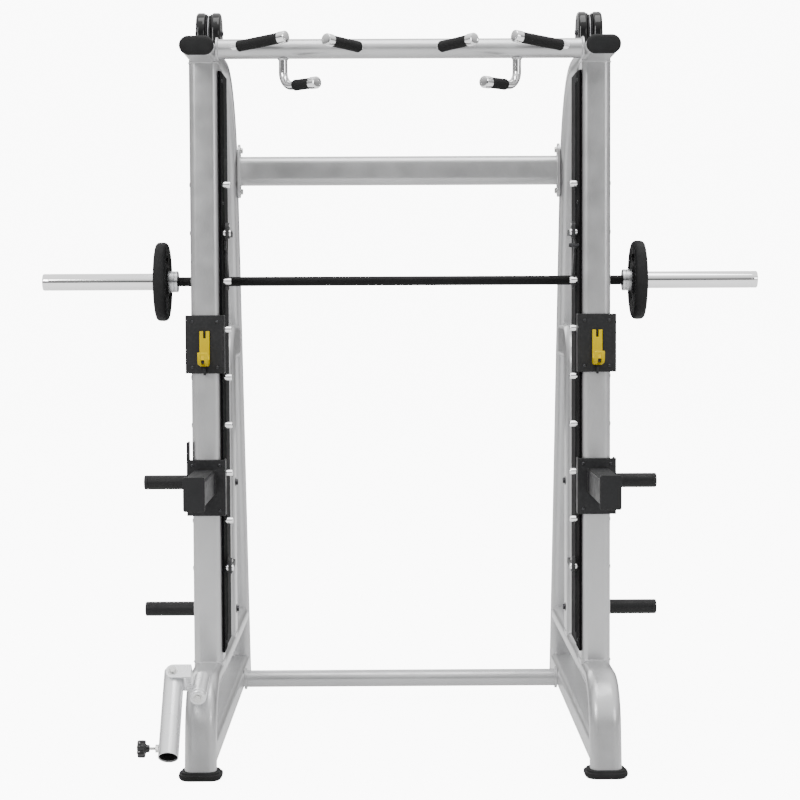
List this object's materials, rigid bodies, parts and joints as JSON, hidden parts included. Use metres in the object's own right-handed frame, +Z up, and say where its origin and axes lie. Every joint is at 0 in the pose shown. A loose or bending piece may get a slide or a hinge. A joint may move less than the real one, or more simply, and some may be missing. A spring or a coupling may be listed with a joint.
{
  "type": "smith machine",
  "caption": "Counterbalanced guided-barbell rack with bar hooks, safety stops, spotter arms, plate storage pegs, a multi-grip pull-up bar and a landmine socket.",
  "frame": {"origin": "floor, under the middle of the machine's bounding box", "axes": "+Z up, the open front faces -Y, +X to the right seen from the front"},
  "size_m": [2.13, 1.6691, 2.195],
  "materials": {
    "frame_paint": "satin silver-grey powder coat",
    "black_paint": "satin black powder coat",
    "chrome": "polished chrome plate",
    "steel": "machined steel",
    "cast_iron": "dark cast iron",
    "rubber": "moulded black rubber",
    "gloss_black": "glossy black moulding",
    "yellow": "yellow coating",
    "silver_paint": "bright silver paint"
  },
  "bodies": {
    "frame": {"base_arch_left": "frame_paint", "base_arch_right": "frame_paint", "beam_cap_left": "rubber", "beam_cap_right": "rubber", "cable_left": "steel", "cable_right": "steel", "catch_pegs_left": "chrome", "catch_pegs_right": "chrome", "floor_rail_left": "frame_paint", "floor_rail_right": "frame_paint", "foot_front_left": "rubber", "foot_front_right": "rubber", "foot_rear_left": "rubber", "foot_rear_right": "rubber", "front_upright_left": "frame_paint", "front_upright_right": "frame_paint", "guide_housing_left": "black_paint", "guide_housing_right": "black_paint", "guide_rod_left": "chrome", "guide_rod_right": "chrome", "landmine_axle": "steel", "lower_crossbar": "frame_paint", "peg_strip_left": "black_paint", "peg_strip_right": "black_paint", "pull_up_bar": "frame_paint", "pulley_housing_left": "gloss_black", "pulley_housing_right": "gloss_black", "storage_peg_lower_left": "black_paint", "storage_peg_lower_right": "black_paint", "storage_peg_upper_left": "black_paint", "storage_peg_upper_right": "black_paint", "storage_post_left": "frame_paint", "storage_post_right": "frame_paint", "top_rear_tube_left": "frame_paint", "top_rear_tube_right": "frame_paint", "upper_crossbeam": "frame_paint"},
    "carriages": {"carriage_left": "steel", "carriage_right": "steel"},
    "bar": {"smith_bar": "chrome", "bar_hook_left": "black_paint", "bar_hook_right": "black_paint"},
    "landmine_swivel": {"landmine_clevis": "silver_paint"},
    "landmine_socket": {"landmine_tube": "silver_paint"},
    "landmine_screw": {"landmine_knob": "gloss_black"},
    "plate_left": {"weight_plate_left": "rubber"},
    "counterweight_left": {"counterweight_left": "cast_iron"},
    "pulley_left": {"pulley_left": "steel"},
    "upper_stop_left": {"safety_stop_upper_left": "cast_iron"},
    "lower_stop_left": {"safety_stop_lower_left": "cast_iron"},
    "j_hook_left": {"jhook_bracket_left": "black_paint", "jhook_left": "yellow"},
    "spotter_left": {"spotter_arm_left": "black_paint"},
    "plate_right": {"weight_plate_right": "rubber"},
    "counterweight_right": {"counterweight_right": "cast_iron"},
    "pulley_right": {"pulley_right": "steel"},
    "upper_stop_right": {"safety_stop_upper_right": "cast_iron"},
    "lower_stop_right": {"safety_stop_lower_right": "cast_iron"},
    "j_hook_right": {"jhook_bracket_right": "black_paint", "jhook_right": "yellow"},
    "spotter_right": {"spotter_arm_right": "black_paint"}
  },
  "joints": [
    {"name": "bar_travel", "type": "slide", "parent": "frame", "child": "carriages", "axis": [0, 0, 1], "range_m": [-0.8195, 0.117], "deforming": ["cable_left", "cable_right"]},
    {"name": "bar_turn", "type": "hinge", "parent": "carriages", "child": "bar", "pos_m": [0, -0.16853, 1.3925], "axis": [-1, 0, 0], "range_deg": [-50, 0]},
    {"name": "landmine_swing", "type": "hinge", "parent": "frame", "child": "landmine_swivel", "pos_m": [-0.5675, -0.67653, 0.24], "axis": [0, 0.9781, 0.2079], "range_deg": [0, 180]},
    {"name": "landmine_hinge", "type": "hinge", "parent": "landmine_swivel", "child": "landmine_socket", "pos_m": [-0.636, -0.64653, 0.292], "axis": [0, 0.7431, -0.6691], "range_deg": [0, 80]},
    {"name": "knob_turn", "type": "hinge", "parent": "landmine_socket", "child": "landmine_screw", "pos_m": [-0.636, -0.79508, 0.12702], "axis": [-1, 0, 0], "continuous": true},
    {"name": "plate_slide_left", "type": "slide", "parent": "bar", "child": "plate_left", "axis": [-1, 0, 0], "range_m": [0, 0.3]},
    {"name": "counterweight_travel_left", "type": "slide", "parent": "frame", "child": "counterweight_left", "axis": [0, 0, 1], "range_m": [-0.1171, 0.8196]},
    {"name": "pulley_turn_left", "type": "hinge", "parent": "frame", "child": "pulley_left", "pos_m": [-0.5675, -0.11653, 2.133], "axis": [1, 0, 0], "range_deg": [-130, 904]},
    {"name": "upper_stop_lift_left", "type": "slide", "parent": "frame", "child": "upper_stop_left", "axis": [0, 0, 1], "range_m": [0, 0.05]},
    {"name": "lower_stop_lift_left", "type": "slide", "parent": "frame", "child": "lower_stop_left", "axis": [0, 0, 1], "range_m": [0, 0.05]},
    {"name": "j_hook_height_left", "type": "slide", "parent": "frame", "child": "j_hook_left", "axis": [0, 0, 1], "range_m": [-0.1, 0.6]},
    {"name": "spotter_height_left", "type": "slide", "parent": "frame", "child": "spotter_left", "axis": [0, 0, 1], "range_m": [-0.38, 0.07]},
    {"name": "plate_slide_right", "type": "slide", "parent": "bar", "child": "plate_right", "axis": [1, 0, 0], "range_m": [0, 0.3]},
    {"name": "counterweight_travel_right", "type": "slide", "parent": "frame", "child": "counterweight_right", "axis": [0, 0, 1], "range_m": [-0.1171, 0.8196]},
    {"name": "pulley_turn_right", "type": "hinge", "parent": "frame", "child": "pulley_right", "pos_m": [0.5675, -0.11653, 2.133], "axis": [1, 0, 0], "range_deg": [-130, 904]},
    {"name": "upper_stop_lift_right", "type": "slide", "parent": "frame", "child": "upper_stop_right", "axis": [0, 0, 1], "range_m": [0, 0.05]},
    {"name": "lower_stop_lift_right", "type": "slide", "parent": "frame", "child": "lower_stop_right", "axis": [0, 0, 1], "range_m": [0, 0.05]},
    {"name": "j_hook_height_right", "type": "slide", "parent": "frame", "child": "j_hook_right", "axis": [0, 0, 1], "range_m": [-0.1, 0.6]},
    {"name": "spotter_height_right", "type": "slide", "parent": "frame", "child": "spotter_right", "axis": [0, 0, 1], "range_m": [-0.38, 0.07]}
  ],
  "couplings": [
    {"joint": "counterweight_travel_left", "follows": "bar_travel", "ratio": -1},
    {"joint": "pulley_turn_left", "follows": "bar_travel", "rad_per_m": -19.231},
    {"joint": "counterweight_travel_right", "follows": "bar_travel", "ratio": -1},
    {"joint": "pulley_turn_right", "follows": "bar_travel", "rad_per_m": -19.231}
  ]
}
